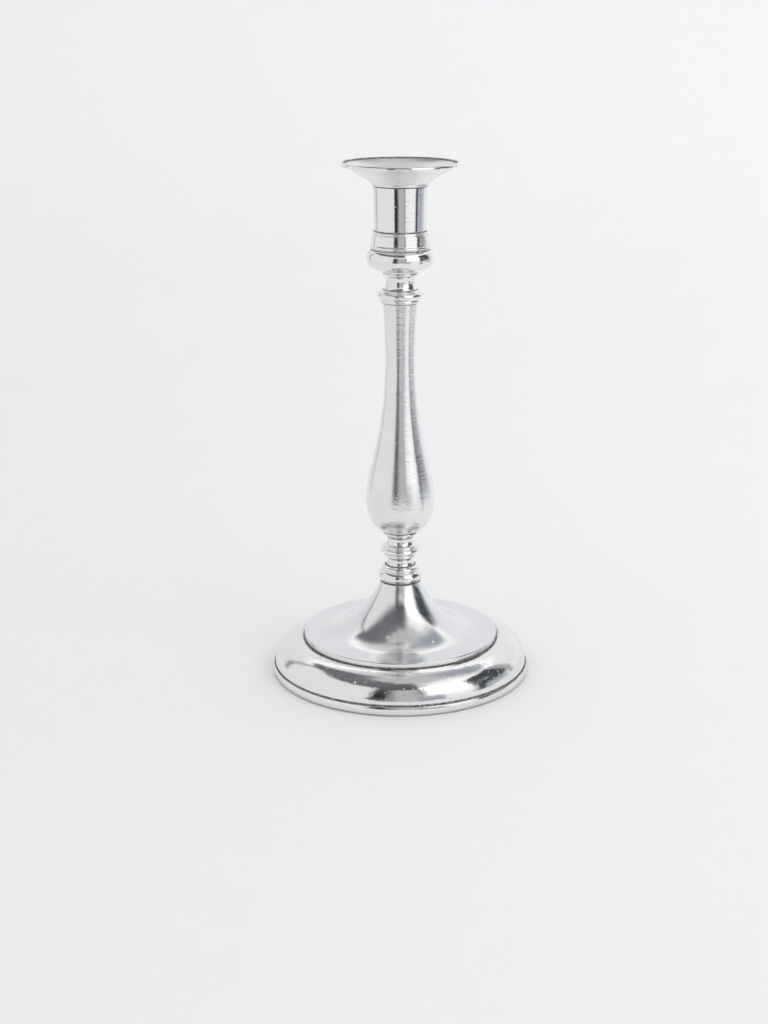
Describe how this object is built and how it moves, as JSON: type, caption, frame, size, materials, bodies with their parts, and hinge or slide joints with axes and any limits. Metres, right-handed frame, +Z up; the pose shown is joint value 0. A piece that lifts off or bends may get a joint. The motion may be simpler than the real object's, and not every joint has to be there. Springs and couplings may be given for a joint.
{
  "type": "candlestick",
  "caption": "Turned, polished metal candlestick: stepped round base, baluster stem, ringed cup and a lift-out nozzle with a drip pan.",
  "frame": {"origin": "middle of the underside of the felt pad, on the table", "axes": "+Z up the column; the object is a body of revolution, so X and Y are free"},
  "size_m": [0.1426, 0.1426, 0.28],
  "materials": {
    "polished_metal": "polished, with small pits",
    "brushed_metal": "fine lathe lines around the axis",
    "satin_metal": "satin",
    "steel_hardware": "plain zinc plated",
    "brass_bush": "turned",
    "iron_weight": "rough cast",
    "felt": "pressed felt"
  },
  "bodies": {
    "column": {"lip_ring": "polished_metal", "base_dome": "polished_metal", "foot_plate": "satin_metal", "lower_collar": "polished_metal", "lower_spool": "polished_metal", "stem_ring": "polished_metal", "stem": "brushed_metal", "stem_bush_lower": "brass_bush", "stem_bush_upper": "brass_bush", "stem_collar": "polished_metal", "cup_neck": "polished_metal", "cup_bowl": "polished_metal", "cup_band": "polished_metal", "socket_tube": "brushed_metal", "tie_rod": "steel_hardware", "base_washer": "steel_hardware", "base_lock_washer": "steel_hardware", "base_nut": "steel_hardware", "cup_washer": "steel_hardware", "cup_nut": "steel_hardware", "base_weight": "iron_weight", "base_cover": "steel_hardware", "felt_pad": "felt"},
    "nozzle": {"drip_pan": "polished_metal", "rim_wire": "polished_metal", "nozzle_sleeve": "satin_metal"}
  },
  "joints": [
    {"name": "nozzle_lift", "type": "slide", "parent": "column", "child": "nozzle", "axis": [0, 0, 1], "range_m": [0, 0.045]}
  ]
}
